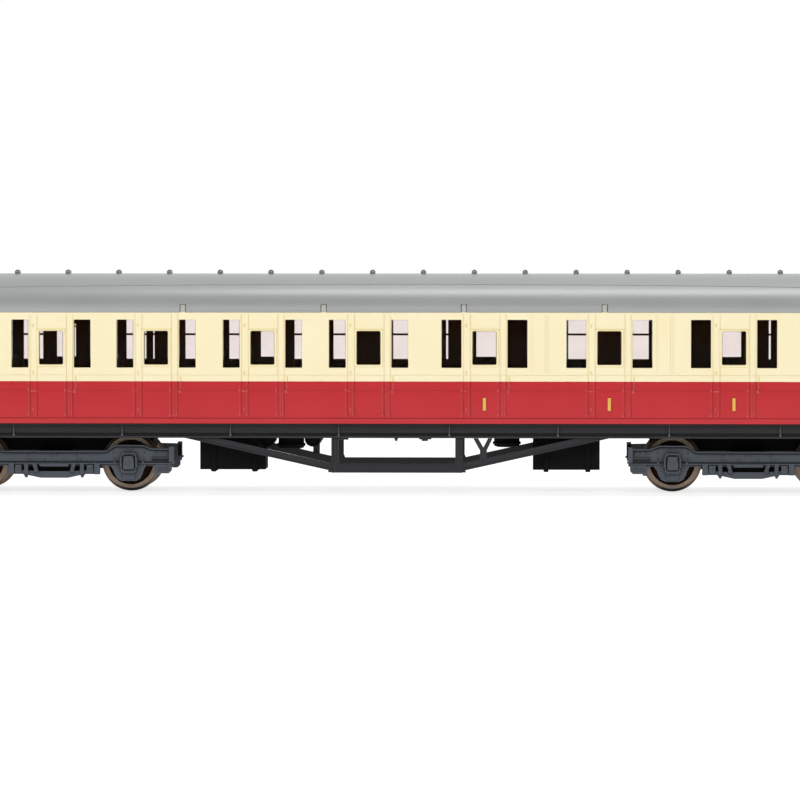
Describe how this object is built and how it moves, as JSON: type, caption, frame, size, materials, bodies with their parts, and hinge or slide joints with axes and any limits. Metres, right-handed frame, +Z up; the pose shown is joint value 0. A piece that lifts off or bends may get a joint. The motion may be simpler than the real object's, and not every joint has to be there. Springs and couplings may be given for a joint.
{
  "type": "model passenger coach",
  "caption": "Model railway corridor coach with cream and crimson sides, grey roof, trussed underframe, swivelling bogies, free-running wheelsets and lifting coupling hooks.",
  "frame": {"origin": "middle of the coach at the lowest point of the wheel flanges", "axes": "+X along the coach towards the first class end, +Y towards the corridor side, +Z up"},
  "size_m": [0.262, 0.0364, 0.0531],
  "materials": {
    "cream_crimson_plastic": "satin paint over moulded polystyrene, cream above and crimson below the waist",
    "roof_grey_plastic": "matt mid grey, moulded",
    "clear_glazing": "clear moulded styrene",
    "brown_plastic": "dark brown self-coloured moulding",
    "black_plastic": "near-black satin moulding",
    "bogie_plastic": "dark blue-grey satin moulding",
    "bright_steel": "turned or cut steel",
    "blackened_steel": "chemically blackened sheet steel",
    "wheel_metal": "turned metal tyre, dulled brown"
  },
  "bodies": {
    "coach": {"body_shell": "cream_crimson_plastic", "roof": "roof_grey_plastic", "glazing_compartment_side": "clear_glazing", "glazing_corridor_side": "clear_glazing", "interior_unit": "brown_plastic", "chassis": "black_plastic", "ballast_weight": "bright_steel", "truss_compartment_side": "black_plastic", "truss_corridor_side": "black_plastic", "battery_box_a": "black_plastic", "battery_box_b": "black_plastic", "vacuum_cylinder_a": "black_plastic", "vacuum_cylinder_b": "black_plastic", "dynamo": "black_plastic", "vacuum_reservoir": "black_plastic", "gangway_b": "black_plastic", "gangway_door_b": "black_plastic", "buffer_b1": "black_plastic", "buffer_b2": "black_plastic", "bogie_pin_b": "bright_steel", "gangway_a": "black_plastic", "gangway_door_a": "black_plastic", "buffer_a1": "black_plastic", "buffer_a2": "black_plastic", "bogie_pin_a": "bright_steel"},
    "bogie_b": {"bogie_frame_b": "bogie_plastic", "coupling_arm_b": "black_plastic", "coupling_pin_b": "bright_steel"},
    "wheelset_b1": {"axle_b1": "bright_steel", "wheel_b1_left": "wheel_metal", "wheel_b1_right": "wheel_metal"},
    "wheelset_b2": {"axle_b2": "bright_steel", "wheel_b2_left": "wheel_metal", "wheel_b2_right": "wheel_metal"},
    "hook_b": {"coupling_hook_b": "blackened_steel"},
    "bogie_a": {"bogie_frame_a": "bogie_plastic", "coupling_arm_a": "black_plastic", "coupling_pin_a": "bright_steel"},
    "wheelset_a1": {"axle_a1": "bright_steel", "wheel_a1_left": "wheel_metal", "wheel_a1_right": "wheel_metal"},
    "wheelset_a2": {"axle_a2": "bright_steel", "wheel_a2_left": "wheel_metal", "wheel_a2_right": "wheel_metal"},
    "hook_a": {"coupling_hook_a": "blackened_steel"}
  },
  "joints": [
    {"name": "bogie_a_swivel", "type": "hinge", "parent": "coach", "child": "bogie_a", "pos_m": [-0.083, 0, 0.0105], "axis": [0, 0, 1], "range_deg": [-10, 10]},
    {"name": "wheelset_a1_spin", "type": "hinge", "parent": "bogie_a", "child": "wheelset_a1", "pos_m": [-0.065, 0, 0.00705], "axis": [0, 1, 0], "continuous": true},
    {"name": "wheelset_a2_spin", "type": "hinge", "parent": "bogie_a", "child": "wheelset_a2", "pos_m": [-0.101, 0, 0.00705], "axis": [0, 1, 0], "continuous": true},
    {"name": "hook_a_lift", "type": "hinge", "parent": "bogie_a", "child": "hook_a", "pos_m": [-0.1196, 0, 0.0097], "axis": [0, 1, 0], "range_deg": [0, 20]},
    {"name": "bogie_b_swivel", "type": "hinge", "parent": "coach", "child": "bogie_b", "pos_m": [0.083, 0, 0.0105], "axis": [0, 0, 1], "range_deg": [-10, 10]},
    {"name": "wheelset_b1_spin", "type": "hinge", "parent": "bogie_b", "child": "wheelset_b1", "pos_m": [0.065, 0, 0.00705], "axis": [0, 1, 0], "continuous": true},
    {"name": "wheelset_b2_spin", "type": "hinge", "parent": "bogie_b", "child": "wheelset_b2", "pos_m": [0.101, 0, 0.00705], "axis": [0, 1, 0], "continuous": true},
    {"name": "hook_b_lift", "type": "hinge", "parent": "bogie_b", "child": "hook_b", "pos_m": [0.1196, 0, 0.0097], "axis": [0, -1, 0], "range_deg": [0, 20]}
  ]
}
